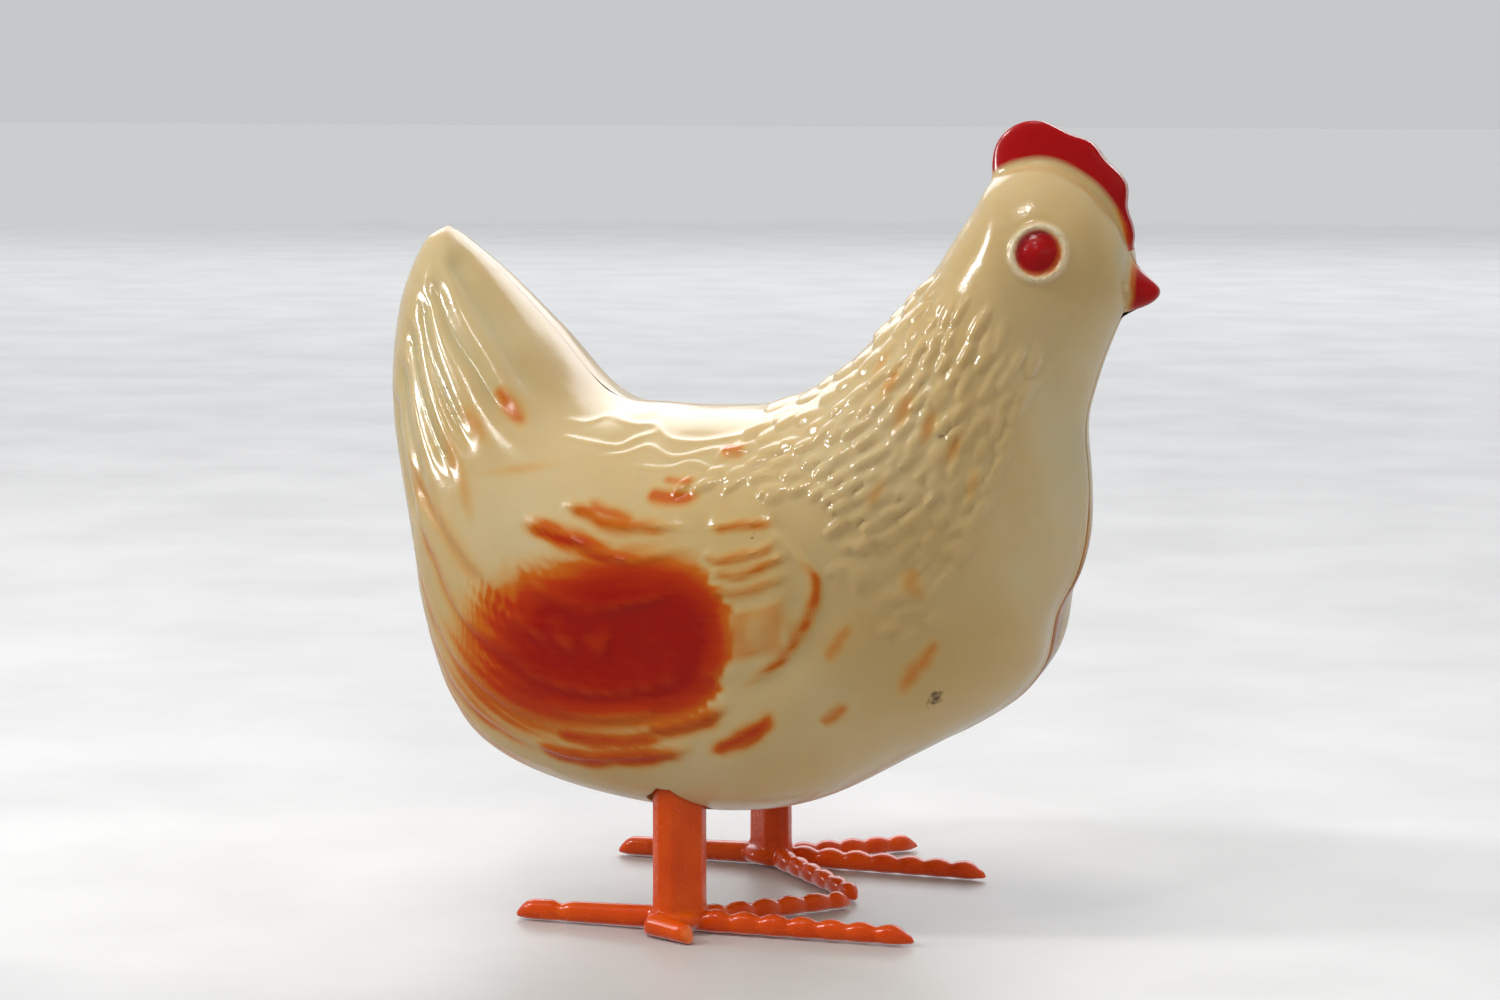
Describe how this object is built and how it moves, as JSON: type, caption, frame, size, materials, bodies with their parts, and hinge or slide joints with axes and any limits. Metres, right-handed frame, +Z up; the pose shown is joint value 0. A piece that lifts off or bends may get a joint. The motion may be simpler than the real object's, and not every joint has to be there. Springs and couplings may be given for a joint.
{
  "type": "egg-laying toy hen",
  "caption": "Hollow moulded toy hen that slides down over its two legs when pressed and drops a round egg from its belly; sprung back up, with gate and chute inside.",
  "frame": {"origin": "on the floor, midway between the axes of the two legs", "axes": "+X is the way the hen faces, +Y its left side, +Z up"},
  "size_m": [0.1411, 0.0854, 0.1399],
  "materials": {
    "shell_plastic": "waxy translucent cream, airbrushed red and orange",
    "leg_plastic": "translucent orange",
    "chute_plastic": "unpainted cream",
    "yoke_plastic": "translucent orange",
    "spring_wire": "drawn wire",
    "pin_steel": "bright steel"
  },
  "bodies": {
    "legs": {"right_leg": "leg_plastic", "left_leg": "leg_plastic", "leg_yoke": "yoke_plastic", "yoke_pins": "pin_steel", "right_spring": "spring_wire", "left_spring": "spring_wire"},
    "hen": {"right_shell": "shell_plastic", "left_shell": "shell_plastic", "egg_chute": "chute_plastic"}
  },
  "joints": [
    {"name": "press_down", "type": "slide", "parent": "legs", "child": "hen", "axis": [0, 0, -1], "range_m": [0, 0.011], "stiffness_N_per_m": 600, "springref_m": -0.004, "deforming": ["right_spring", "left_spring"]}
  ]
}
